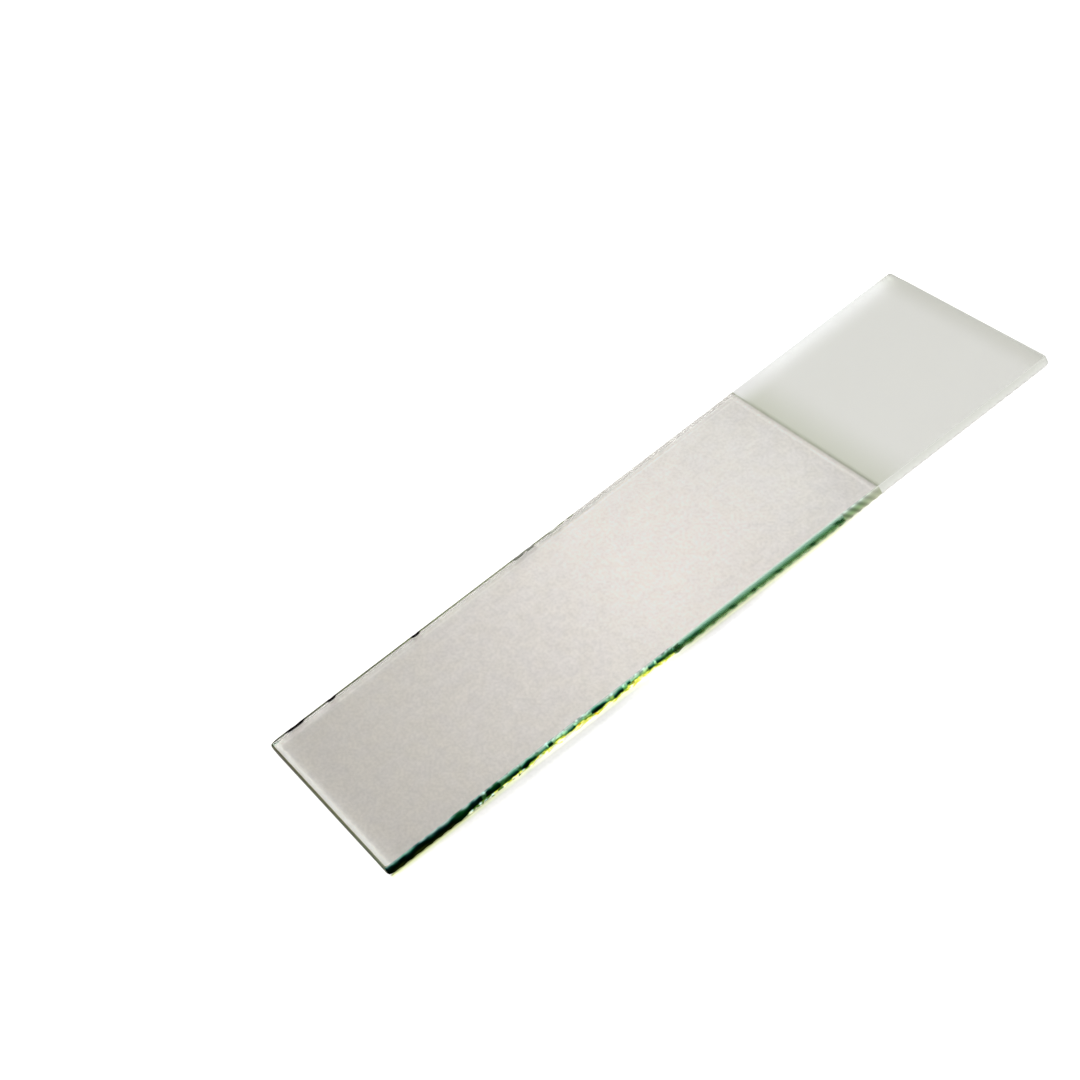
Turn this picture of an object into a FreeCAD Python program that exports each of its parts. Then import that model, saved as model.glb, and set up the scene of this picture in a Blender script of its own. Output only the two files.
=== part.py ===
"""Microscope slide: one pane of soda-lime glass with snapped long edges and one frosted end.

Frame: millimetres. The origin is the middle of the underside, +X runs along the length towards
the frosted end, +Y across the width and +Z up through the thickness.
"""
import FreeCAD, Part
import math
import os

# The pane
slide_length = 76.0
slide_width = 26.0
slide_thickness = 1.0

# The frosted writing field, etched into the top face at the +X end
frosted_length = 20.0
frosted_depth = 0.02

# The short ends are ground square, with their arrises eased and their upright corners dubbed
arris_size = 0.20
corner_dub = 0.40

# The long edges are scored along the top by a glass cutter and snapped
score_width = 0.10
score_depth = 0.08

# Snapping leaves a row of shell-shaped chips along the -Y edge's lower arris. They lie end to end
# and swell to their full size at one place, which is measured from the clear end.
small_chip_width = 0.90
large_chip_width = 1.90
chip_height_share = 0.28
chip_inset_share = 0.09
chip_land = 0.10
chip_end_margin = 0.60
swell_place = 23.0
swell_reach = 11.0

# Nicks in the +Y edge's upper arris, each with its place from the clear end and its length
nicks = ((3.0, 2.0), (7.2, 1.0), (17.2, 0.9), (29.6, 1.2), (31.0, 0.9), (33.8, 1.0))
nick_height = 0.22
nick_inset = 0.14

# How far a cutting tool runs past the glass that it cuts
tool_overrun = 1.0

LEFT = 1
RIGHT = -1


def pane():
    """The plain pane, with its upright corners dubbed and its short arrises eased."""
    corner = FreeCAD.Vector(-slide_length / 2, -slide_width / 2, 0)
    block = Part.makeBox(slide_length, slide_width, slide_thickness, corner)
    dubbed = block.makeChamfer(corner_dub, [edge for edge in block.Edges if stands(edge)])
    arrises = [edge for edge in dubbed.Edges if at_an_end(edge) and not stands(edge)]
    return dubbed.makeChamfer(arris_size, arrises)


def stands(edge):
    """True for an upright edge, parallel to Z."""
    first, last = (vertex.Point for vertex in edge.Vertexes)
    return abs(last.z - first.z) > slide_thickness / 2


def at_an_end(edge):
    """True for an edge of a short end or of a dubbed corner."""
    return abs(edge.CenterOfMass.x) > slide_length / 2 - corner_dub


def score(side):
    """The cutter's V along one long upper arris, as a prism over the whole length."""
    start = -slide_length / 2 - tool_overrun
    arris = FreeCAD.Vector(start, side * slide_width / 2, slide_thickness)
    across = FreeCAD.Vector(0, side * score_width, 0)
    down = FreeCAD.Vector(0, 0, -score_depth)
    # the prism's sloping side lies on the V and runs on past both ends of it, clear of the glass
    inner = arris - across * 2 - down
    lower = arris + across + down * 2
    outer = arris + across - down
    outline = Part.makePolygon([inner, lower, outer, inner])
    return Part.Face(outline).extrude(FreeCAD.Vector(slide_length + 2 * tool_overrun, 0, 0))


def shell_bite(x, side, arris_z, width, height, inset):
    """A ball that bites one shell-shaped chip out of a long arris.

    It passes through the chip's reach up or down the edge, its reach in across the face, and its
    two tips on the arris. Those four points fix its centre and radius.
    """
    half_width = width / 2
    out = (half_width ** 2 - inset ** 2) / (2 * inset)
    beyond = (half_width ** 2 - height ** 2) / (2 * height)
    radius = math.sqrt(out ** 2 + beyond ** 2 + half_width ** 2)
    away = 1 if arris_z > slide_thickness / 2 else -1
    centre = FreeCAD.Vector(x, side * (slide_width / 2 + out), arris_z + away * beyond)
    return Part.makeSphere(radius, centre)


def chip_width(x):
    """The width of a chip that starts at x."""
    from_swell = (x + slide_length / 2 - swell_place) / swell_reach
    return small_chip_width + (large_chip_width - small_chip_width) * math.exp(-from_swell ** 2)


def shell_chips():
    """The row of chips along the lower arris of the -Y edge."""
    chips = []
    start = -slide_length / 2 + chip_end_margin
    width = chip_width(start)
    while start + width < slide_length / 2 - chip_end_margin:
        height = chip_height_share * width
        inset = chip_inset_share * width
        chips.append(shell_bite(start + width / 2, RIGHT, 0, width, height, inset))
        start += width + chip_land
        width = chip_width(start)
    return chips


def upper_nicks():
    """The nicks along the upper arris of the +Y edge."""
    return [
        shell_bite(place - slide_length / 2, LEFT, slide_thickness, length, nick_height, nick_inset)
        for place, length in nicks
    ]


def writing_field():
    """The layer of glass that the etching takes off the frosted end."""
    start = slide_length / 2 - frosted_length
    corner = FreeCAD.Vector(start, -slide_width / 2 - tool_overrun, slide_thickness - frosted_depth)
    return Part.makeBox(
        frosted_length + tool_overrun, slide_width + 2 * tool_overrun, tool_overrun, corner
    )


def slide():
    """The finished slide: the pane, less its score lines, chips, nicks and frosted field."""
    cutters = [writing_field(), score(LEFT), score(RIGHT)]
    cutters.extend(shell_chips())
    cutters.extend(upper_nicks())
    return pane().cut(cutters).Solids[0]


os.makedirs("parts", exist_ok=True)
glass = slide()
glass.exportStep("parts/slide.step")
print("volume mm3", round(glass.Volume, 3), "faces", len(glass.Faces), "valid", glass.isValid())
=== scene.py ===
"""Looks of the microscope slide: a pane of clear glass with snapped long edges and a frosted end."""
import functools
import math

import bmesh
import bpy
from mathutils import Matrix, Vector, noise


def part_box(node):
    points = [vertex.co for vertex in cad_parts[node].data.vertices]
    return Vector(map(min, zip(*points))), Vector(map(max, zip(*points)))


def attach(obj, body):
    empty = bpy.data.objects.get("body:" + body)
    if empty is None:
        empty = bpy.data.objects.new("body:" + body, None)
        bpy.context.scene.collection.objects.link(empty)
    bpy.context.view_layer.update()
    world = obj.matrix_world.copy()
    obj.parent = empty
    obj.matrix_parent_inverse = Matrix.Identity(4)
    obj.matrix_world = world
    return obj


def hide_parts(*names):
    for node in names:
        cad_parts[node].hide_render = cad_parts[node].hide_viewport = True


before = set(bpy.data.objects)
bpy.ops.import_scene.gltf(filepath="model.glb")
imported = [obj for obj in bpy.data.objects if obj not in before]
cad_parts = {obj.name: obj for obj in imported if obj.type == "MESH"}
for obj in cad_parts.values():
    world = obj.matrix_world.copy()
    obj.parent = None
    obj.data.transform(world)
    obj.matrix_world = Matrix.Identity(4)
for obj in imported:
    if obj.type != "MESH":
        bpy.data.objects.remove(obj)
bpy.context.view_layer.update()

MM = 0.001
LOW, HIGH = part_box("slide")
LENGTH = HIGH.x - LOW.x

# The frosted end
FROSTED_LENGTH = 20.0 * MM
FROSTED_DEPTH = 0.02 * MM
FROST_START = HIGH.x - FROSTED_LENGTH

# The ground short ends
CORNER_DUB = 0.40 * MM
ARRIS = 0.20 * MM
CORNER_SEGMENTS = 3
ARRIS_SEGMENTS = 2

# The grid that the long edges are worked on
STEP = 0.1 * MM
EDGE_LEVELS = 12
RIM_STRIPS = (0.05 * MM, 0.10 * MM, 0.17 * MM, 0.28 * MM)
RIM = RIM_STRIPS[-1]
LONG_RUN = 2.0 * MM
CUT_TOLERANCE = 0.00002 * MM
SHARP_ANGLE = math.radians(28)

# The snapped long edges; a ripple's two sizes are along the edge and up it
LEFT, RIGHT = 1, -1
RIPPLE_DEPTH = {LEFT: 0.005 * MM, RIGHT: 0.030 * MM}
SLOW_RIPPLE = (2.2 * MM, 1.6 * MM)
SLOW_SHARE = 0.45
FINE_RIPPLE = (0.7 * MM, 0.9 * MM)
FINE_SHARE = 0.2
SCORE_WIDTH = 0.10 * MM
SCORE_DEPTH = 0.08 * MM

# The line of crushed glass down the +Y edge, and where it breaks up, in mm from the clear end
CRUSHED_LINE = 0.55 * MM
CRUSHED_WAVE = 0.8 * MM
BREAKS_UP = (32.0, 42.0)

# The chips, end to end along the lower arris of the -Y edge
SMALL_CHIP_WIDTH = 0.90 * MM
LARGE_CHIP_WIDTH = 1.90 * MM
CHIP_HEIGHT_SHARE = 0.28
CHIP_INSET_SHARE = 0.09
CHIP_LAND = 0.10 * MM
CHIP_END_MARGIN = 0.60 * MM
SWELL_PLACE = LOW.x + 23.0 * MM
SWELL_REACH = 11.0 * MM

# The nicks in the upper arris of the +Y edge, each with its place from the clear end and its length in mm
NICKS = ((3.0, 2.0), (7.2, 1.0), (17.2, 0.9), (29.6, 1.2), (31.0, 0.9), (33.8, 1.0))
NICK_HEIGHT = 0.22 * MM
NICK_INSET = 0.14 * MM

# A nick's painted shade: how far it reaches down the edge and over the top, its half length as a share
# of the nick's length, and how deep it has to be to show on the top, beside the arris and further in
NICK_SHADE = 0.90 * MM
NICK_RIM = 0.42 * MM
NICK_REACH_SHARE = 0.58
NICK_SHARE_AT_RIM = 0.3
NICK_SHARE_INSIDE = 0.85

# The -Y edge as it is seen, in painted light and shade; each place is a distance from the clear end in mm,
# each height a height in mm. Knots of painted shade: place and half length; and the solid stretch of
# painted shade at the clear end.
SHADE_KNOTS = ((11.75, 0.85), (14.08, 0.45), (15.7, 0.8), (17.35, 0.45), (18.2, 0.2), (20.5, 0.4), (23.6, 0.9),
         (25.8, 0.55), (27.0, 0.12), (29.6, 0.3), (30.45, 0.28))
SHADE_KNOT_CORE_SHARE = 0.7
SHADE_KNOT_FADE = 0.15
SOLID_DARK_END = 10.6
# Dark spots of painted shade in the even stretch: place, half length and height; each leans with the height.
SPOTS = ((34.6, 0.5, 0.35), (38.7, 0.35, 0.32), (41.2, 0.2, 0.32), (44.0, 0.4, 0.32), (48.0, 0.35, 0.32),
         (50.95, 0.35, 0.55), (51.3, 0.35, 0.40))
SPOT_CORE_SHARE = 0.5
SPOT_FADE = 0.2
SPOT_SLANT = 0.8
SPOT_RISE = (0.12, 0.28)
# The tops of the chips' painted highlights: place and height.
LIT_TOPS = ((0.0, -0.02), (8.3, -0.02), (9.0, 0.24), (10.6, 0.36), (12.0, 0.30), (14.0, 0.33), (14.7, 0.42),
            (15.3, 0.20), (15.9, 0.44), (17.4, 0.52), (18.2, 0.48), (19.0, 0.65), (20.5, 0.45),
            (21.5, 0.60), (23.6, 0.38), (24.8, 0.48), (25.3, 0.34), (26.4, 0.36), (27.0, 0.62),
            (29.6, 0.50), (30.5, 0.46), (31.6, 0.38), (33.0, 0.16), (34.0, 0.12))
LIT_TOP_WAVER = 0.05
LIT_TOP_WAVE = 0.35
# Sparks, glints of painted light: place and height.
SPARKS = ((9.2, 0.14), (10.15, 0.22), (10.75, 0.10), (10.9, 0.92), (11.5, 0.16), (13.05, 0.10),
          (14.95, 0.20), (16.9, 0.30), (17.9, 0.95), (25.15, 0.85))
SPARK_CORE = 0.06
SPARK_REACH = 0.22
SPARK_FLATNESS = 1.5
BROKEN_END = LOW.x + 32.0 * MM
RIBS_START = LOW.x + 51.7 * MM

# How far a face's normal leans, from 0 to 1, before it counts as facing that way
FLAT = 0.95
FACES_UP = 0.9
LEANS = 0.3
END_LEAN = 0.2
CORNER_LEAN = 0.4

CLEAR, FROSTED, SNAPPED, SCORED, BROKEN, RIBBED, SHADED_NICK, GROUND, PALE = range(9)


# ---------------------------------------------------------------- the pane

def plain_pane(bm):
    """A slab of the slide's size, with its upright corners dubbed and its short arrises eased."""
    bmesh.ops.create_cube(bm, size=1.0)
    bmesh.ops.scale(bm, vec=HIGH - LOW, verts=bm.verts)
    bmesh.ops.translate(bm, vec=(LOW + HIGH) / 2, verts=bm.verts)
    ease(bm, [e for e in bm.edges if stands(e)], CORNER_DUB, CORNER_SEGMENTS)
    ease(bm, [e for e in bm.edges if at_an_end(e) and not stands(e)], ARRIS, ARRIS_SEGMENTS)


def ease(bm, edges, size, segments):
    """Rounds the edges off."""
    bmesh.ops.bevel(bm, geom=edges, offset=size, offset_type="OFFSET", segments=segments, profile=0.5,
                    affect="EDGES", material=-1)


def middle(edge):
    return (edge.verts[0].co + edge.verts[1].co) / 2


def stands(edge):
    """True for an upright edge."""
    return abs(edge.verts[0].co.z - edge.verts[1].co.z) > (HIGH.z - LOW.z) / 2


def at_an_end(edge):
    """True for an edge of a short end or of a dubbed corner."""
    return abs(middle(edge).x) > HIGH.x - CORNER_DUB


def runs_along(edge):
    """True for a long edge that runs along the length."""
    way = edge.verts[1].co - edge.verts[0].co
    return way.length > LONG_RUN and abs(way.x) > 0.9 * way.length


def cut_across(bm, point, normal):
    """Splits every face that the plane meets."""
    geom = bm.verts[:] + bm.edges[:] + bm.faces[:]
    bmesh.ops.bisect_plane(bm, geom=geom, plane_co=point, plane_no=normal, dist=CUT_TOLERANCE)


def edge_grid(bm):
    """Gives the long edges a fine grid, and the top and underside narrow strips beside them."""
    height = HIGH.z - LOW.z
    for level in range(1, EDGE_LEVELS):
        cut_across(bm, (0, 0, LOW.z + height * level / EDGE_LEVELS), (0, 0, 1))
    for side in (LEFT, RIGHT):
        for inset in RIM_STRIPS:
            cut_across(bm, (0, side * (HIGH.y - inset), 0), (0, 1, 0))
    cut_across(bm, (0, HIGH.y - NICK_RIM, 0), (0, 1, 0))
    cut_across(bm, (FROST_START, 0, 0), (1, 0, 0))
    for start, end in ((LOW.x, FROST_START), (FROST_START, HIGH.x)):
        runs = [e for e in bm.edges if runs_along(e) and start < middle(e).x < end]
        cuts = round((end - start) / STEP) - 1
        bmesh.ops.subdivide_edges(bm, edges=runs, cuts=cuts, use_grid_fill=True)


# ---------------------------------------------------------------- the snapped edges

class Bite:
    """A ball that takes a shell-shaped chip off a long arris."""

    def __init__(self, x, side, arris_z, width, height, inset):
        half_width = width / 2
        out = (half_width ** 2 - inset ** 2) / (2 * inset)
        beyond = (half_width ** 2 - height ** 2) / (2 * height)
        away = 1 if arris_z > (LOW.z + HIGH.z) / 2 else -1
        self.centre = Vector((x, side * (HIGH.y + out), arris_z + away * beyond))
        self.radius = math.sqrt(out ** 2 + beyond ** 2 + half_width ** 2)

    def take(self, vertex):
        """Moves a vertex that the ball reaches out to its surface."""
        away = vertex.co - self.centre
        if away.length < self.radius:
            vertex.co = self.centre + away.normalized() * self.radius


def chip_width(x):
    """The width of a chip that starts at x."""
    swell = math.exp(-((x - SWELL_PLACE) / SWELL_REACH) ** 2)
    return SMALL_CHIP_WIDTH + (LARGE_CHIP_WIDTH - SMALL_CHIP_WIDTH) * swell


def shell_chips():
    """The row of chips that snapping leaves along the -Y edge's lower arris."""
    bites = []
    start = LOW.x + CHIP_END_MARGIN
    width = chip_width(start)
    while start + width < HIGH.x - CHIP_END_MARGIN:
        bites.append(Bite(start + width / 2, RIGHT, LOW.z, width,
                          CHIP_HEIGHT_SHARE * width, CHIP_INSET_SHARE * width))
        start += width + CHIP_LAND
        width = chip_width(start)
    return bites


def upper_nicks():
    """The nicks along the +Y edge's upper arris."""
    return [Bite(LOW.x + place * MM, LEFT, HIGH.z, length * MM, NICK_HEIGHT, NICK_INSET)
            for place, length in NICKS]


def ripple(x, z, side):
    """How far the snapped face lies inside its plane, from 0 to 1."""
    slow = noise.noise(Vector((x / SLOW_RIPPLE[0], z / SLOW_RIPPLE[1], 7.0 * side)))
    fine = noise.noise(Vector((x / FINE_RIPPLE[0], z / FINE_RIPPLE[1], 3.0 + 9.0 * side)))
    return max(0.0, min(1.0, 0.5 + SLOW_SHARE * slow + FINE_SHARE * fine))


def work_long_edge(bm, side, bites):
    """Ripples one snapped face, scores its upper arris and takes its bites off."""
    for v in bm.verts:
        x, z = v.co.x, v.co.z
        inset = abs(side * HIGH.y - v.co.y)
        from_end = HIGH.x - CORNER_DUB - abs(x)
        if inset > RIM or from_end < 0:
            continue
        share = (1.0 - inset / RIM) * min(1.0, from_end / CORNER_DUB)
        v.co.y -= side * RIPPLE_DEPTH[side] * share * ripple(x, z, side)
        outside = 1.0 - inset / SCORE_WIDTH - (HIGH.z - z) / SCORE_DEPTH
        if outside > 0:
            v.co.y -= side * SCORE_WIDTH * outside / 2
            v.co.z -= SCORE_DEPTH * outside / 2
        for bite in bites:
            if abs(bite.centre.x - x) < bite.radius:
                bite.take(v)


def step(value, low, high):
    """A smooth step from 0 to 1."""
    share = max(0.0, min(1.0, (value - low) / (high - low)))
    return share * share * (3.0 - 2.0 * share)


def waver(x, size, seed):
    """Noise along the edge, from -1 to 1."""
    return noise.noise(Vector((x / size, seed, 0.0)))


def nick_depth(x):
    """How far down the +Y edge a nick's shade reaches, in the outline of a shell."""
    away = min(abs(x - LOW.x - place * MM) / (NICK_REACH_SHARE * length * MM) for place, length in NICKS)
    return NICK_SHADE * math.sqrt(max(0.0, 1.0 - away ** 4))


def crushed_depth(x):
    """How far down the +Y edge its crushed line reaches; it breaks up towards the frosted end."""
    gone = 2.2 * step((x - LOW.x) / MM, *BREAKS_UP) - 1.0
    return CRUSHED_LINE * min(1.0, 3.0 * (waver(x, CRUSHED_WAVE, 12.0) - gone))


def lit_top(place):
    """The height up the -Y edge to which its chips throw the light back as painted highlights, in mm."""
    for (start, low), (end, high) in zip(LIT_TOPS, LIT_TOPS[1:]):
        if start <= place < end:
            return low + (high - low) * step(place, start, end)
    return LIT_TOPS[-1][1]


def darkness(place, z):
    """How dark the -Y edge's painted shade is, from 0 to 1."""
    place += 0.12 * waver(z, 0.25, 6.0 + 0.4 * place)
    dark = 1.0 - step(place, SOLID_DARK_END - 0.2, SOLID_DARK_END + 0.1)
    for shade_knot_place, half_length in SHADE_KNOTS:
        core, edge = half_length * SHADE_KNOT_CORE_SHARE, half_length + SHADE_KNOT_FADE
        dark = max(dark, 1.0 - step(abs(place - shade_knot_place), core, edge))
    for spot_place, half_length, height in SPOTS:
        away = abs(place - spot_place - SPOT_SLANT * (height - z))
        spot = 1.0 - step(away, half_length * SPOT_CORE_SHARE, half_length + SPOT_FADE)
        dark = max(dark, spot * (1.0 - step(abs(z - height), *SPOT_RISE)))
    return dark


def spark(place, z):
    """How brightly a spark, a painted glint, shows, from 0 to 1."""
    away = min(math.hypot(place - spark_place, SPARK_FLATNESS * (z - height)) for spark_place, height in SPARKS)
    return 1.0 - step(away, SPARK_CORE, SPARK_REACH)


def mark_edges(bm):
    """Keeps the edge's painted shade, the depth in mm under the tops of its chips' painted highlights,
    and its painted glints.
    """
    marks = bm.verts.layers.float_color.new("painted_edge_shading")
    for v in bm.verts:
        place, z = (v.co.x - LOW.x) / MM, v.co.z / MM
        top = lit_top(place) + LIT_TOP_WAVER * waver(place, LIT_TOP_WAVE, 9.0)
        v[marks] = (darkness(place, z), top - z, spark(place, z), 1.0)


def etch(bm):
    """Lowers the frosted end's top face by the depth of the etching."""
    for v in bm.verts:
        if v.co.x > FROST_START + STEP / 2 and v.co.z > HIGH.z - FROSTED_DEPTH:
            v.co.z -= FROSTED_DEPTH


def finish_of(face):
    """The finish that a face of the pane has."""
    centre, normal = face.calc_center_median(), face.normal
    if abs(centre.x) > HIGH.x - CORNER_DUB and (abs(normal.x) > END_LEAN or abs(normal.z) < FLAT):
        if centre.x > 0:
            return PALE
        return BROKEN if normal.y < -CORNER_LEAN else GROUND
    if shaded_by_nick(centre, normal):
        return SHADED_NICK
    if abs(centre.y) < HIGH.y - RIM:
        return FROSTED if normal.z > 0.5 and centre.x > FROST_START else CLEAR
    if centre.x > FROST_START:
        if normal.z > FACES_UP:
            return FROSTED
        return PALE if centre.y < 0 else CLEAR
    if normal.z > FACES_UP or normal.z < -FLAT:
        return CLEAR
    return near_finish(centre, normal) if centre.y < 0 else far_finish(centre, normal)


def shaded_by_nick(centre, normal):
    """True for a face of the top that a nick's shade covers."""
    inset = HIGH.y - centre.y
    if inset > NICK_RIM or normal.z < FACES_UP:
        return False
    share = NICK_SHARE_AT_RIM if inset < RIM else NICK_SHARE_INSIDE
    return nick_depth(centre.x) > share * NICK_SHADE


def near_finish(centre, normal):
    """The finish that a face of the -Y edge has."""
    if centre.x < BROKEN_END:
        return BROKEN
    if centre.x > RIBS_START:
        return RIBBED
    return SCORED if normal.z > LEANS else SNAPPED


def far_finish(centre, normal):
    """The finish that a face of the +Y edge has."""
    if normal.z > -LEANS and centre.z > HIGH.z - nick_depth(centre.x):
        return SHADED_NICK
    if normal.z > LEANS:
        return CLEAR
    return SCORED if centre.z > HIGH.z - crushed_depth(centre.x) else SNAPPED


def slide_piece(materials):
    """The slide, with its finishes in the order of their numbers."""
    bm = bmesh.new()
    plain_pane(bm)
    edge_grid(bm)
    work_long_edge(bm, RIGHT, shell_chips())
    work_long_edge(bm, LEFT, upper_nicks())
    mark_edges(bm)
    etch(bm)
    bmesh.ops.recalc_face_normals(bm, faces=bm.faces)
    for face in bm.faces:
        face.material_index = finish_of(face)
        face.smooth = True
    mesh = bpy.data.meshes.new("slide_glass")
    bm.to_mesh(mesh)
    bm.free()
    mesh.set_sharp_from_angle(angle=SHARP_ANGLE)
    for material in materials:
        mesh.materials.append(material)
    return in_scene("slide_glass", mesh)


def in_scene(name, data):
    """A new object in the scene."""
    made = bpy.data.objects.new(name, data)
    bpy.context.scene.collection.objects.link(made)
    return made


# ---------------------------------------------------------------- nodes

class Net:
    """Adds nodes to one node tree and joins them."""

    def __init__(self, tree):
        self.tree = tree

    def feed(self, socket, value):
        """Puts a wire or a value on a socket."""
        if isinstance(value, bpy.types.NodeSocket):
            self.tree.links.new(value, socket)
        elif socket.type == "RGBA":
            socket.default_value = (*value, 1)
        else:
            socket.default_value = value

    def set(self, node, **inputs):
        """Feeds each socket named, with underscores for its spaces."""
        for name, value in inputs.items():
            self.feed(node.inputs[name.replace("_", " ")], value)
        return node

    def node(self, kind, **inputs):
        """A new node, with its sockets fed."""
        return self.set(self.tree.nodes.new("ShaderNode" + kind), **inputs)

    def group(self, tree, **inputs):
        """The outputs of a shared group, with its sockets fed."""
        made = self.tree.nodes.new("ShaderNodeGroup")
        made.node_tree = tree
        return self.set(made, **inputs).outputs

    def math(self, operation, *values):
        made = self.node("Math")
        made.operation = operation
        for socket, value in zip(made.inputs, values):
            self.feed(socket, value)
        return made.outputs[0]

    def plus(self, *values):
        return functools.reduce(functools.partial(self.math, "ADD"), values)

    def times(self, *values):
        return functools.reduce(functools.partial(self.math, "MULTIPLY"), values)

    def greatest(self, *values):
        return functools.reduce(functools.partial(self.math, "MAXIMUM"), values)

    def scaled(self, colour, scale):
        """A colour made lighter or darker."""
        made = self.node("VectorMath")
        made.operation = "SCALE"
        self.feed(made.inputs[0], colour)
        self.feed(made.inputs["Scale"], scale)
        return made.outputs[0]

    def tinted(self, *colours):
        """Colours multiplied together."""
        tint = colours[0]
        for colour in colours[1:]:
            made = self.node("VectorMath")
            made.operation = "MULTIPLY"
            self.feed(made.inputs[0], tint)
            self.feed(made.inputs[1], colour)
            tint = made.outputs[0]
        return tint

    def ramp(self, value, low, high, to_low=0.0, to_high=1.0):
        """A smooth step from to_low to to_high, as the value runs from low to high."""
        made = self.node("MapRange", Value=value, From_Min=low, From_Max=high, To_Min=to_low, To_Max=to_high)
        made.interpolation_type = "SMOOTHSTEP"
        return made.outputs[0]

    def blend(self, share, first, second):
        """Two colours, mixed by a share."""
        made = self.node("Mix")
        made.data_type = "RGBA"
        for socket, value in ((made.inputs[0], share), (made.inputs[6], first), (made.inputs[7], second)):
            self.feed(socket, value)
        return made.outputs[2]

    def bands(self, value, stops):
        """A colour that runs through the stops as the value grows."""
        made = self.node("ValToRGB", Fac=value)
        ramp = made.color_ramp
        while len(ramp.elements) < len(stops):
            ramp.elements.new(1.0)
        for element, (place, colour) in zip(ramp.elements, stops):
            element.position = place
            element.color = (*colour, 1)
        return made.outputs["Color"]


def new_group(name, takes, gives):
    """A shader node group with its sockets named: its net, the sockets it takes and those it gives."""
    tree = bpy.data.node_groups.new(name, "ShaderNodeTree")
    for way, names in (("INPUT", takes), ("OUTPUT", gives)):
        for socket_name in names:
            tree.interface.new_socket(name=socket_name, in_out=way, socket_type="NodeSocketFloat")
    return Net(tree), tree.nodes.new("NodeGroupInput").outputs, tree.nodes.new("NodeGroupOutput").inputs


def place_group():
    """The place on the slide in millimetres, and its distance from the clear end as a share of the length."""
    net, _, gives = new_group("place", (), ("X", "Y", "Z", "Along"))
    metres = net.node("TexCoord").outputs["Object"]
    spot = net.node("SeparateXYZ", Vector=net.scaled(metres, 1 / MM)).outputs
    for axis in "XYZ":
        net.feed(gives[axis], spot[axis])
    from_end = net.math("SUBTRACT", spot["X"], LOW.x / MM)
    net.feed(gives["Along"], net.math("DIVIDE", from_end, LENGTH / MM))
    return net.tree


def edge_marks_group():
    """The painted shade, the depth under the tops of the chips' painted highlights, and the painted glints that
    the mesh carries.
    """
    names = ("Darkness", "Depth", "Sparks")
    net, _, gives = new_group("painted edge shading", (), names)
    marks = net.node("Attribute")
    marks.attribute_name = "painted_edge_shading"
    for name, part in zip(names, net.node("SeparateColor", Color=marks.outputs["Color"]).outputs):
        net.feed(gives[name], part)
    return net.tree


def streaks_group():
    """Noise from 0 to 1, with its grains sized apart along the two axes."""
    net, takes, gives = new_group("streaks", ("X", "Y", "Seed", "Size X", "Size Y", "Detail"), ("Noise",))
    spot = net.node("CombineXYZ", X=net.math("DIVIDE", takes["X"], takes["Size X"]),
                    Y=net.math("DIVIDE", takes["Y"], takes["Size Y"]), Z=takes["Seed"])
    grain = net.node("TexNoise", Vector=spot.outputs[0], Scale=1.0, Detail=takes["Detail"])
    net.feed(gives["Noise"], grain.outputs["Fac"])
    return net.tree


def stripe_group():
    """A smooth bump from 0 to 1 and back, round the middle."""
    net, takes, gives = new_group("stripe", ("Value", "Middle", "Half Width"), ("Mask",))
    away = net.math("ABSOLUTE", net.math("SUBTRACT", takes["Value"], takes["Middle"]))
    net.feed(gives["Mask"], net.ramp(away, 0.0, takes["Half Width"], 1.0, 0.0))
    return net.tree


PLACE = place_group()
EDGE_LIGHT_AND_SHADE = edge_marks_group()
STREAKS = streaks_group()
STRIPE = stripe_group()


class FinishNet(Net):
    """The net of a material, which places the shared groups with its own values."""

    def streaks(self, x, y, seed, size, detail=1.0):
        size_x, size_y = size
        return self.group(STREAKS, X=x, Y=y, Seed=seed, Size_X=size_x, Size_Y=size_y, Detail=detail)["Noise"]

    def stripe(self, value, middle_place, half_width):
        return self.group(STRIPE, Value=value, Middle=middle_place, Half_Width=half_width)["Mask"]

    def colours_along(self, along, *stops):
        """Colours that run along the slide; each stop has its x in mm."""
        return self.bands(along, [((x * MM - LOW.x) / LENGTH, colour) for x, colour in stops])

    def strength_along(self, along, *stops):
        """A strength that runs along the slide; each stop has its x in mm."""
        return self.colours_along(along, *((x, (strength,) * 3) for x, strength in stops))


def new_material(name, **finish):
    """A material, its net, and its shader with the finish set."""
    material = bpy.data.materials.new(name)
    material.use_nodes = True
    net = FinishNet(material.node_tree)
    return material, net, net.set(net.tree.nodes["Principled BSDF"], **finish)


# ---------------------------------------------------------------- the finishes of the glass

BODY_TINT = (0.0, 0.814, 0.337)
BODY_DENSITY = 20.0
GLASS_IOR = 1.52
BLACK = (0.0, 0.0, 0.0)


def glass_material(name, colour, roughness, transmission, **finish):
    """A finish of the glass, over a body that is green through its length."""
    material, net, shader = new_material(name, Base_Color=colour, Roughness=roughness, IOR=GLASS_IOR,
                                         Transmission_Weight=transmission, **finish)
    body = net.node("VolumeAbsorption", Density=BODY_DENSITY, Color=BODY_TINT)
    net.set(net.tree.nodes["Material Output"], Volume=body.outputs[0])
    return material, net, shader


def clear_glass():
    return glass_material("clear_glass", (1.0, 1.0, 1.0), 0.0, 1.0)[0]


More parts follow.
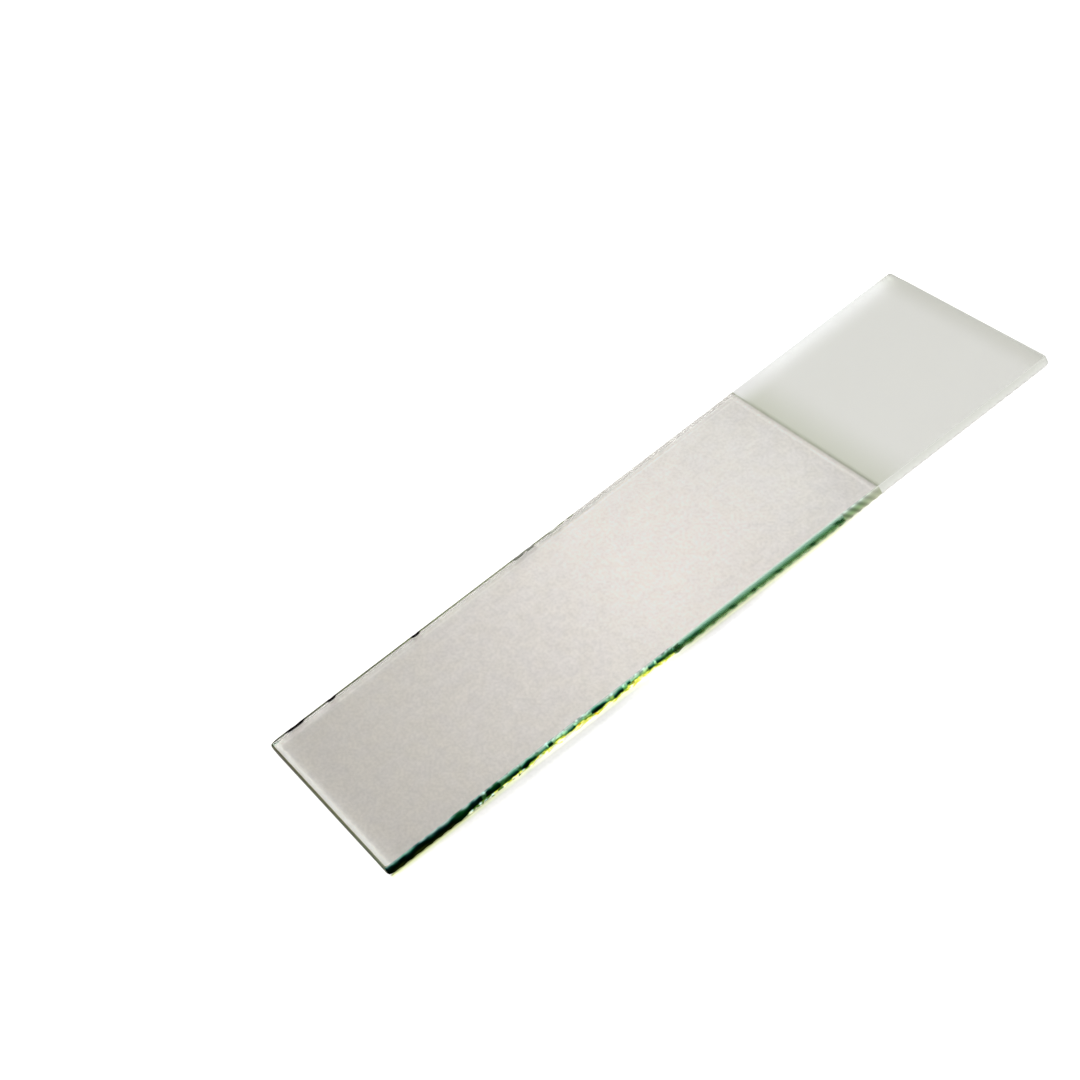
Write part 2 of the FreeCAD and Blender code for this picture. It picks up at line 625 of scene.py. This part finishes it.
# The smooth stretch's colours by height in mm, where it is dark and where it is light: the glass's green,
# with painted shade darkest below the middle and painted light along the top
SNAPPED_DARK = ((0.05, (0.33, 0.35, 0.10)), (0.15, (0.13, 0.12, 0.02)), (0.25, (0.007, 0.02, 0.0005)),
                (0.45, (0.001, 0.025, 0.001)), (0.55, (0.003, 0.05, 0.013)), (0.65, (0.02, 0.106, 0.056)),
                (0.75, (0.22, 0.33, 0.30)), (0.86, (1.0, 1.0, 1.0)))
SNAPPED_LIGHT = ((0.05, (0.48, 0.45, 0.20)), (0.15, (0.38, 0.28, 0.11)), (0.25, (0.10, 0.13, 0.03)),
                 (0.35, (0.047, 0.10, 0.018)), (0.45, (0.055, 0.13, 0.035)), (0.55, (0.10, 0.21, 0.09)),
                 (0.65, (0.24, 0.35, 0.22)), (0.75, (0.52, 0.50, 0.46)), (0.86, (1.0, 0.9, 1.0)))
# The painted shade of the dark spots, then the paler green of the +Y edge
SNAPPED_SPOT = (0.0005, 0.01, 0.001)
SNAPPED_FAR = (0.70, 0.95, 0.85)


def snapped_glass():
    """The smooth stretch: green, with painted shade darkest below its middle and painted light along the
    top; pale on the +Y edge.
    """
    material, net, shader = glass_material("snapped_glass", (0.45, 0.75, 0.55), 0.02, 1.0, Specular_Tint=BLACK)
    x, y, z, _ = net.group(PLACE)
    change = net.ramp(net.streaks(net.plus(x, z), 0.0, 1.0, (0.8, 1.0)), 0.3, 0.7, -0.25, 0.25)
    share = net.plus(net.ramp(x, -5.0, 4.0, 0.0, 0.85), change)
    core = net.blend(share, net.bands(z, SNAPPED_DARK), net.bands(z, SNAPPED_LIGHT))
    core = net.blend(net.group(EDGE_LIGHT_AND_SHADE)["Darkness"], core, SNAPPED_SPOT)
    net.set(shader, Base_Color=net.blend(net.ramp(y, -1.0, 1.0), core, SNAPPED_FAR))
    return material


# The broken stretch's knots of painted shade by height in mm: black, teal and green
SHADE_KNOT_BLACK = ((0.12, (0.013, 0.019, 0.0015)), (0.28, (0.001, 0.003, 0.0002)), (0.45, (0.0, 0.002, 0.0005)),
              (0.64, (0.0003, 0.005, 0.004)), (0.74, (0.004, 0.026, 0.026)), (0.84, (0.05, 0.13, 0.12)),
              (0.95, (0.22, 0.37, 0.34)), (1.0, (0.42, 0.52, 0.48)))
SHADE_KNOT_TEAL = ((0.45, (0.0, 0.002, 0.0005)), (0.62, (0.0004, 0.011, 0.005)), (0.72, (0.006, 0.085, 0.045)),
             (0.82, (0.07, 0.29, 0.18)), (0.93, (0.24, 0.50, 0.38)), (1.0, (0.42, 0.55, 0.48)))
SHADE_KNOT_GREEN = ((0.45, (0.0, 0.009, 0.001)), (0.64, (0.001, 0.04, 0.008)), (0.74, (0.01, 0.07, 0.02)),
              (0.84, (0.06, 0.16, 0.10)), (0.95, (0.22, 0.37, 0.32)), (1.0, (0.42, 0.52, 0.48)))
# The links between the knots by height in mm, the glass's green in painted light: olive, green and deep green
LINK_OLIVE = ((0.50, (0.22, 0.38, 0.04)), (0.66, (0.36, 0.62, 0.22)), (0.80, (0.50, 0.81, 0.56)),
              (0.95, (0.52, 0.62, 0.54)), (1.0, (0.58, 0.62, 0.57)))
LINK_GREEN = ((0.50, (0.06, 0.28, 0.07)), (0.66, (0.20, 0.58, 0.26)), (0.80, (0.42, 0.81, 0.58)),
              (0.95, (0.48, 0.66, 0.58)), (1.0, (0.56, 0.64, 0.58)))
LINK_DEEP = ((0.55, (0.015, 0.07, 0.012)), (0.70, (0.04, 0.16, 0.06)), (0.82, (0.14, 0.33, 0.23)),
             (0.95, (0.36, 0.52, 0.45)), (1.0, (0.52, 0.60, 0.54)))
# The chips' painted highlights by depth under their tops: lemon, amber and mint
CHIP_LEMON = ((0.0, (0.03, 0.06, 0.01)), (0.10, (0.12, 0.24, 0.03)), (0.20, (0.40, 0.55, 0.06)),
              (0.34, (0.92, 0.94, 0.10)), (0.58, (1.0, 1.0, 0.30)), (0.85, (1.0, 1.0, 0.72)),
              (1.0, (1.0, 1.0, 0.90)))
CHIP_AMBER = ((0.0, (0.08, 0.05, 0.0)), (0.12, (0.35, 0.26, 0.01)), (0.24, (0.92, 0.66, 0.03)),
              (0.42, (1.0, 0.90, 0.08)), (0.64, (1.0, 0.97, 0.32)), (0.85, (1.0, 1.0, 0.72)),
              (1.0, (1.0, 1.0, 0.90)))
CHIP_MINT = ((0.0, (0.16, 0.36, 0.16)), (0.15, (0.50, 0.72, 0.46)), (0.35, (0.88, 1.0, 0.86)),
             (1.0, (0.97, 1.0, 0.95)))
# The painted shade in the gaps between the chips, the colour of the painted glints, and the glow of the chips
# and glints, which are no lamp
CHIP_GAP = (0.07, 0.17, 0.02)
SPARK_COLOUR = (0.70, 0.98, 0.92)
CHIP_GLOW = 0.2


def shade_knot_colour(net, x, z):
    """The knots of painted shade: black near the clear end, teal further on, and greener in places."""
    raised = net.ramp(net.streaks(x, z, 8.0, (1.3, 1.2)), 0.32, 0.68, -0.14, 0.08)
    height = net.plus(z, raised, net.ramp(x, -26.0, -20.0, 0.0, 0.10))
    patches = net.ramp(net.streaks(x, z, 9.0, (1.3, 0.6)), 0.44, 0.62, 0.0, 0.6)
    tealer = net.greatest(patches, net.ramp(x, -28.0, -24.0))
    greener = net.greatest(net.stripe(x, -29.7, 1.3), net.stripe(x, -26.0, 0.8))
    colour = net.blend(tealer, net.bands(height, SHADE_KNOT_BLACK), net.bands(height, SHADE_KNOT_TEAL))
    return net.blend(greener, colour, net.bands(height, SHADE_KNOT_GREEN))


def link_colour(net, x, z):
    """The paler glass between the knots: its green in painted light, lighter and darker by facets."""
    hue = net.ramp(net.streaks(x, z, 5.0, (0.8, 0.5)), 0.42, 0.58)
    deeper = net.greatest(net.ramp(x, -20.5, -21.5), net.ramp(x, -7.8, -7.2))
    colour = net.blend(hue, net.bands(z, LINK_GREEN), net.bands(z, LINK_OLIVE))
    colour = net.blend(deeper, colour, net.bands(z, LINK_DEEP))
    # Painted light: some facets lighter, some darker
    facets = net.ramp(net.streaks(x, z, 16.0, (0.45, 0.32)), 0.32, 0.68, 0.50, 1.42)
    return net.scaled(colour, facets)


def chip_colour(net, x, z, depth):
    """The chips' painted highlights, where they throw the light back: yellow, paler with depth, with
    minty frost and gaps of painted shade.
    """
    jitter = net.times(net.math("SUBTRACT", net.streaks(x, z, 2.0, (0.4, 0.15)), 0.5), 0.25)
    turn = net.ramp(net.streaks(x, z, 27.0, (0.6, 0.35)), 0.38, 0.62, 0.9, 2.8)
    share = net.times(net.plus(depth, jitter), turn, net.ramp(x, -21.5, -23.5, 1.0, 1.7))
    warm = net.ramp(net.streaks(x, 0.0, 11.0, (0.9, 1.0)), 0.57, 0.66)
    colour = net.blend(warm, net.bands(share, CHIP_LEMON), net.bands(share, CHIP_AMBER))
    # The minty frost is a share of the painted highlights
    frost = net.ramp(net.streaks(x, z, 23.0, (0.45, 0.3)), 0.53, 0.6)
    frost = net.times(frost, net.ramp(x, -24.0, -27.5, 0.2, 0.9))
    gaps = net.ramp(net.streaks(x, z, 31.0, (0.75, 0.6)), 0.53, 0.46)
    gaps = net.times(gaps, net.ramp(x, -21.5, -23.5, 0.0, 0.95))
    return net.blend(gaps, net.blend(frost, colour, net.bands(share, CHIP_MINT)), CHIP_GAP)


def broken_glass():
    """The hackled stretch in painted light and shade: knots of painted shade, black and teal, over the
    yellow and white painted highlights of its chips.
    """
    material, net, shader = glass_material("broken_glass", (0.4, 0.45, 0.2), 0.5, 0.0, Specular_IOR_Level=0.0,
                                           Emission_Strength=CHIP_GLOW)
    x, _, z, _ = net.group(PLACE)
    dark, depth, sparks = net.group(EDGE_LIGHT_AND_SHADE)
    ragged = net.math("MULTIPLY_ADD", net.streaks(x, z, 14.0, (0.22, 0.16)), 0.9, -0.45)
    dark = net.ramp(net.plus(dark, ragged), 0.25, 0.75)
    upper = net.blend(dark, link_colour(net, x, z), shade_knot_colour(net, x, z))
    chip = net.ramp(depth, -0.04, 0.04)
    colour = net.blend(chip, upper, chip_colour(net, x, z, depth))
    colour = net.blend(sparks, colour, SPARK_COLOUR)
    # The chips' painted highlights and the glints glow, though the glass is no lamp
    net.set(shader, Base_Color=colour, Emission_Color=net.scaled(colour, net.greatest(chip, sparks)))
    return material


# The ribbed stretch by height in mm, at its start and beside the frosted end: painted light and shade,
# darkest in the middle and lighter at the top and towards the table
RIBBED_OLIVE = ((0.05, (0.58, 0.63, 0.47)), (0.15, (0.40, 0.47, 0.30)), (0.30, (0.26, 0.36, 0.19)),
                (0.50, (0.22, 0.34, 0.17)), (0.65, (0.23, 0.34, 0.20)), (0.78, (0.29, 0.40, 0.28)),
                (0.95, (0.49, 0.58, 0.51)))
RIBBED_PALE = ((0.05, (0.67, 0.69, 0.56)), (0.25, (0.46, 0.50, 0.36)), (0.60, (0.43, 0.47, 0.35)),
               (0.95, (0.59, 0.61, 0.53)))
# The painted shade of its dark spots; then the pitch in mm and the slant of its ribs, which are painted as
# lighter and darker stripes
RIBBED_SPOT = (0.0005, 0.02, 0.012)
RIB_PITCH = 0.92
RIB_SLANT = 0.9


def ribbed_glass():
    """The stretch beside the frosted end: slanted olive ribs, painted as lighter and darker stripes,
    that fade away.
    """
    material, net, shader = glass_material("ribbed_glass", (0.3, 0.4, 0.25), 0.5, 0.0, Specular_IOR_Level=0.0)
    x, _, z, _ = net.group(PLACE)
    slant = net.plus(x, net.times(z, RIB_SLANT))
    rib = net.math("SINE", net.times(slant, 2 * math.pi / RIB_PITCH))
    strength = net.math("MULTIPLY_ADD", rib, net.ramp(x, 15.0, 18.0, 0.34, 0.06), 1.0)
    colour = net.blend(net.ramp(x, 15.0, 17.7), net.bands(z, RIBBED_OLIVE), net.bands(z, RIBBED_PALE))
    colour = net.blend(net.group(EDGE_LIGHT_AND_SHADE)["Darkness"], net.scaled(colour, strength), RIBBED_SPOT)
    net.set(shader, Base_Color=colour)
    return material


# The crushed glass: the -Y edge's colour, and the +Y edge's colours by x in mm
SCORED_NEAR = (0.52, 0.62, 0.54)
SCORED_FAR = ((-34.0, (0.10, 0.13, 0.025)), (-22.0, (0.28, 0.33, 0.12)), (-10.0, (0.52, 0.55, 0.34)),
              (2.0, (0.77, 0.77, 0.64)))


def scored_glass():
    """Crushed glass: an olive line that fades along the +Y edge, and a pale one on the -Y edge."""
    material, net, shader = glass_material("scored_glass", (0.2, 0.22, 0.16), 0.6, 0.0)
    _, y, _, along = net.group(PLACE)
    olive = net.colours_along(along, *SCORED_FAR)
    net.set(shader, Base_Color=net.blend(net.ramp(y, -1.0, 1.0), SCORED_NEAR, olive))
    return material


# The colours of the nicks' painted shade by x in mm
NICK_RUN = ((-18.0, (0.001, 0.001, 0.001)), (-9.0, (0.22, 0.23, 0.19)), (-6.0, (0.28, 0.29, 0.25)),
            (-4.5, (0.60, 0.61, 0.54)))


def shaded_nick_glass():
    """The nicks' painted shade, black near the clear end and grey further on."""
    material, net, shader = glass_material("shaded_nick_glass", (0.01, 0.01, 0.01), 0.6, 0.0, Specular_IOR_Level=0.0)
    along = net.group(PLACE)["Along"]
    net.set(shader, Base_Color=net.colours_along(along, *NICK_RUN))
    return material


# The ground end from its -Y corner to its +Y corner, as shares of the width
GROUND_RUN = ((0.0, (0.24, 0.26, 0.14)), (0.15, (0.14, 0.15, 0.06)), (0.5, (0.10, 0.10, 0.026)),
              (0.85, (0.055, 0.055, 0.012)), (1.0, (0.05, 0.055, 0.02)))


def ground_glass():
    """The clear end's ground face."""
    material, net, shader = glass_material("ground_glass", (0.05, 0.06, 0.02), 0.35, 1.0,
                                           Specular_Tint=(0.05, 0.05, 0.05))
    from_corner = net.math("SUBTRACT", net.group(PLACE)["Y"], LOW.y / MM)
    across = net.math("DIVIDE", from_corner, (HIGH.y - LOW.y) / MM)
    net.set(shader, Base_Color=net.bands(across, GROUND_RUN))
    return material


# The frosted end's edges by height in mm, in painted light that is paler towards the table
PALE_RUN = ((0.0, (0.90, 0.90, 0.88)), (0.2, (0.83, 0.85, 0.81)), (0.5, (0.79, 0.81, 0.76)),
            (0.86, (0.74, 0.76, 0.71)), (0.97, (0.63, 0.64, 0.59)))


def pale_glass():
    """The long edge and the far edge of the frosted end, with painted light, paler towards the table."""
    material, net, shader = glass_material("pale_glass", (0.77, 0.79, 0.74), 0.6, 0.0, Specular_IOR_Level=0.2)
    net.set(shader, Base_Color=net.bands(net.group(PLACE)["Z"], PALE_RUN))
    return material


# The frosted top's own colour, its painted shade by the join, its dark line at the join, its painted light
# along the +Y rim and its darker rim at the far end
FROST = (0.885, 0.885, 0.845)
FROST_SHADED_BY_JOIN = (0.69, 0.71, 0.60)
FROST_JOIN_LINE = (0.58, 0.60, 0.49)
FROST_LIT_FAR_RIM = (1.0, 1.0, 0.99)
FROST_END_RIM = (0.765, 0.765, 0.705)


def frosted_glass():
    """The etched top of the frosted end: painted shade darker towards the join, with a dark line at it,
    painted light white along +Y, and darker at the far edge.
    """
    material, net, shader = glass_material("frosted_glass", FROST, 0.6, 0.35)
    x, y, _, _ = net.group(PLACE)
    colour = net.blend(net.ramp(x, 17.0, 22.5), FROST_SHADED_BY_JOIN, FROST)
    colour = net.blend(net.ramp(x, 18.05, 18.32), FROST_JOIN_LINE, colour)
    colour = net.blend(net.ramp(y, 9.0, 12.8), colour, FROST_LIT_FAR_RIM)
    colour = net.blend(net.ramp(x, 35.2, 37.8), colour, FROST_END_RIM)
    net.set(shader, Base_Color=colour)
    return material


# ---------------------------------------------------------------- the stage

FLOOR_GAP = 0.03 * MM
FLOOR_SIZE = 3.0
WHITE = (1.0, 1.0, 1.0)

# The table's colour and the glow that stands for the light it gives back under the slide; then the same
# for the patches of it: a tint at the clear end and along the +Y edge, painted light at the clear end's
# edge, painted shade at the join and painted light along the frosted end
PAPER_COLOUR = (0.80, 0.775, 0.752)
PAPER_LIFT = (0.33, 0.273, 0.256)
PAPER_LIFT_BY_JOIN = (0.325, 0.284, 0.271)
TINT_LIGHT_AND_SHADE_PATCHES = (((0.80, 0.775, 0.730), (0.33, 0.273, 0.249)),
           ((0.80, 0.79, 0.767), (0.33, 0.282, 0.264)),
           ((0.83, 0.81, 0.785), (0.385, 0.355, 0.34)),
           ((0.50, 0.51, 0.43), (0.19, 0.185, 0.145)),
           ((0.88, 0.88, 0.90), (0.31, 0.295, 0.295)))
COOL_PAPER = (0.990, 0.996, 1.022)
WARM_PAPER = (1.008, 1.006, 0.970)
CAMERA_LIFT = 0.7

# The painted light on the table: how light it is at the clear end, and how it rises from there
PAPER_NEAR_TONE = 0.61
PAPER_RISE = (-38.0, -4.0)
PAPER_RISE_POWER = 1.25
# Stripes of painted light across it or along it: axis, middle, half width and strength
LIGHT_STRIPES = (("X", -37.5, 0.42, 0.52), ("X", -37.3, 1.6, 0.15), ("Y", 12.28, 0.14, 0.12),
                 ("X", 17.65, 0.25, 0.13))

# The painted shade at the -Y edge's foot, from the edge outwards: an olive line of painted shade,
# a yellow glow of painted light and a grey, soft painted shade
SHADE_RUN = (-12.8, -15.8)
FOOT_LINE = ((0.0, WHITE), (0.02, (0.30, 0.33, 0.16)), (0.07, (0.34, 0.37, 0.18)), (0.12, (0.74, 0.80, 0.46)),
             (0.20, (0.83, 0.86, 0.72)), (0.30, (0.96, 0.96, 0.94)), (0.40, WHITE))
FOOT_GLOW = ((0.0, WHITE), (0.02, (0.82, 0.86, 0.50)), (0.12, (0.86, 0.90, 0.72)), (0.20, (0.93, 0.95, 0.91)),
             (0.28, (0.98, 0.98, 0.98)), (0.36, WHITE))
FOOT_SOFT_SHADE = ((0.0, WHITE), (0.07, (0.86, 0.86, 0.87)), (0.20, (0.61, 0.61, 0.61)), (0.40, (0.61, 0.62, 0.62)),
             (0.65, (0.80, 0.81, 0.81)), (1.0, WHITE))
# How strong each is along the edge, by x in mm
LINE_STRENGTH = ((-38.1, 0.0), (-37.7, 1.0), (-30.0, 1.0), (-24.0, 0.0), (-7.0, 0.0), (-4.0, 0.8),
                 (12.0, 0.8), (19.0, 0.0))
GLOW_STRENGTH = ((-29.0, 0.0), (-27.0, 0.8), (-22.5, 0.95), (-20.5, 0.3), (-15.0, 0.3), (-13.2, 0.9),
                 (-11.2, 0.9), (-9.5, 0.2), (-7.2, 0.5), (-5.0, 0.0))
SOFT_SHADE_STRENGTH = ((-37.5, 0.0), (-30.0, 0.55), (-23.0, 0.85), (-14.0, 1.0), (-7.0, 0.6), (-2.0, 0.95),
                 (2.0, 0.9), (8.0, 0.4), (16.0, 0.0))


def paper_light(net, place):
    """How light the table under the slide is, as painted light.

    It falls off towards the clear end, and the light that the glass gathers or loses at its edges is painted
    on it in stripes.
    """
    x, y = place["X"], place["Y"]
    low, high = PAPER_RISE
    rise = net.math("POWER", net.node("MapRange", Value=x, From_Min=low, From_Max=high).outputs[0],
                    PAPER_RISE_POWER)
    light = net.math("MULTIPLY_ADD", rise, 1.0 - PAPER_NEAR_TONE, PAPER_NEAR_TONE)
    light = net.times(light, net.ramp(x, 0.0, 14.0, 1.0, 0.95), net.ramp(x, 13.0, 17.0, 1.0, 0.95))
    stripes = [net.times(net.stripe(place[axis], middle_place, half_width), strength)
               for axis, middle_place, half_width, strength in LIGHT_STRIPES]
    dimmer = net.times(net.ramp(x, -14.0, 8.0), net.ramp(y, -3.0, -10.0), -0.055)
    brighter = net.plus(net.ramp(x, -11.0, -18.0, 0.0, 0.11), net.ramp(x, -24.0, -34.0, 0.0, 0.27),
                        net.ramp(x, -32.0, -36.0, 0.0, 0.09))
    far_strip = net.times(net.stripe(y, 12.63, 1.0), brighter)
    far_shade = net.times(net.stripe(y, 12.8, 0.45), net.stripe(x, -1.0, 13.0), -0.18)
    by_frost = net.plus(net.ramp(x, 18.5, 24.0, 0.0, 1.1), net.ramp(x, 34.5, 37.5, 0.0, 0.9))
    by_frost = net.times(net.stripe(y, 13.6, 2.5), by_frost)
    return net.times(light, net.plus(1.0, *stripes, dimmer, far_strip, far_shade, by_frost))


def contact_tone(net, place):
    """The painted shade and painted light along the -Y edge's foot, as a tint in its three layers."""
    start, end = SHADE_RUN
    away = net.node("MapRange", Value=place["Y"], From_Min=start, From_Max=end).outputs[0]
    layers = ((FOOT_LINE, LINE_STRENGTH), (FOOT_GLOW, GLOW_STRENGTH), (FOOT_SOFT_SHADE, SOFT_SHADE_STRENGTH))
    return net.tinted(*(net.blend(net.strength_along(place["Along"], *strength), WHITE, net.bands(away, tint))
                        for tint, strength in layers))


def paper():
    """The table: plain white to the camera but for the painted shade at the -Y edge's foot, and with
    painted light where it shows through the glass.
    """
    material, net, shader = new_material("paper", Roughness=0.95, Specular_IOR_Level=0.0)
    place = net.group(PLACE)
    x, y = place["X"], place["Y"]
    grain = net.ramp(net.streaks(x, y, 0.0, (0.30, 0.50), 3.0), 0.3, 0.7, 0.945, 1.055)
    mottle = net.ramp(net.streaks(x, y, 4.0, (1.1, 1.8)), 0.3, 0.7, 0.975, 1.025)
    # Its tone: the paper's grain and mottle, and the painted light
    tone = net.times(grain, mottle, paper_light(net, place))
    contact = contact_tone(net, place)
    # Where the patches of tint, painted light and painted shade lie
    along_frost = net.times(net.stripe(y, 13.2, 2.0), net.ramp(x, 18.5, 24.0))
    masks = (net.ramp(x, -16.0, -30.0), net.stripe(y, 12.6, 1.3), net.stripe(x, -37.5, 0.8),
             net.stripe(x, 18.17, 0.24), along_frost)
    colour = PAPER_COLOUR
    lift = net.blend(net.ramp(x, 4.0, 15.0), PAPER_LIFT, PAPER_LIFT_BY_JOIN)
    for mask, (patch_colour, patch_lift) in zip(masks, TINT_LIGHT_AND_SHADE_PATCHES):
        colour = net.blend(mask, colour, patch_colour)
        lift = net.blend(mask, lift, patch_lift)
    net.set(shader, Base_Color=net.scaled(net.tinted(contact, colour), tone))

    warmth = net.ramp(net.streaks(x, y, 6.0, (1.8, 3.0)), 0.35, 0.65)
    warmth = net.blend(warmth, COOL_PAPER, WARM_PAPER)
    # It glows: evenly to the camera but for the painted foot shade, and with the painted light where glass or a
    # reflection sees it
    path = net.node("LightPath").outputs
    through = net.greatest(path["Is Transmission Ray"], path["Is Glossy Ray"])
    seen = net.blend(through, BLACK, net.scaled(net.tinted(lift, warmth), tone))
    seen = net.blend(path["Is Camera Ray"], seen, net.scaled(contact, CAMERA_LIFT))
    glow = net.node("Emission", Strength=1.0, Color=seen)
    both = net.node("AddShader")
    net.feed(both.inputs[0], shader.outputs[0])
    net.feed(both.inputs[1], glow.outputs[0])
    net.set(net.tree.nodes["Material Output"], Surface=both.outputs[0])
    return material


def floor_piece():
    """The table top, just under the slide."""
    bm = bmesh.new()
    bmesh.ops.create_grid(bm, x_segments=1, y_segments=1, size=FLOOR_SIZE / 2)
    bmesh.ops.translate(bm, vec=(0, 0, LOW.z - FLOOR_GAP), verts=bm.verts)
    mesh = bpy.data.meshes.new("floor")
    bm.to_mesh(mesh)
    bm.free()
    mesh.materials.append(paper())
    in_scene("floor", mesh)


SKY_LOW = 0.55
SKY_HIGH = 0.75
SKY_RISE = (0.3, 0.9)


def studio_world():
    """A white room, a little brighter overhead."""
    world = bpy.data.worlds.new("studio")
    world.use_nodes = True
    net = Net(world.node_tree)
    up = net.node("SeparateXYZ", Vector=net.node("TexCoord").outputs["Generated"]).outputs["Z"]
    level = net.ramp(up, *SKY_RISE, SKY_LOW, SKY_HIGH)
    seen = net.greatest(level, net.node("LightPath").outputs["Is Camera Ray"])
    net.set(net.tree.nodes["Background"], Color=seen)
    bpy.context.scene.world = world


KEY_PLACE = (-0.15, -0.27, 0.36)
KEY_SIZE = 0.20
KEY_POWER = 1.2


def key_lamp():
    """A soft round lamp, turned to the slide."""
    light = bpy.data.lights.new("key", "AREA")
    light.shape = "DISK"
    light.size = KEY_SIZE
    light.energy = KEY_POWER
    holder = in_scene("key", light)
    holder.location = KEY_PLACE
    holder.rotation_euler = (-Vector(KEY_PLACE)).to_track_quat("-Z", "Y").to_euler()


CAMERA_PLACE = Vector((-56.48, -224.91, 164.18)) * MM
CAMERA_AIM = Vector((-5.69, 13.42, 0.5)) * MM
CAMERA_ROLL = math.radians(-30.5)
LENS = 102.4
SENSOR_WIDTH = 36.0
CLIP_START = 10 * MM


def camera():
    data = bpy.data.cameras.new("camera")
    data.lens = LENS
    data.sensor_width = SENSOR_WIDTH
    data.clip_start = CLIP_START
    holder = in_scene("camera", data)
    look = (CAMERA_AIM - CAMERA_PLACE).to_track_quat("-Z", "Y").to_matrix().to_4x4()
    holder.matrix_world = Matrix.Translation(CAMERA_PLACE) @ look @ Matrix.Rotation(CAMERA_ROLL, 4, "Z")
    bpy.context.scene.camera = holder


slide = slide_piece([clear_glass(), frosted_glass(), snapped_glass(), scored_glass(), broken_glass(),
                     ribbed_glass(), shaded_nick_glass(), ground_glass(), pale_glass()])
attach(slide, "root")
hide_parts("slide")
floor_piece()
studio_world()
key_lamp()
camera()

# Light turns many times inside the glass before it comes out
BOUNCES = 64
scene = bpy.context.scene
scene.view_settings.view_transform = "Standard"
scene.cycles.max_bounces = BOUNCES
scene.cycles.glossy_bounces = BOUNCES
scene.cycles.transmission_bounces = BOUNCES
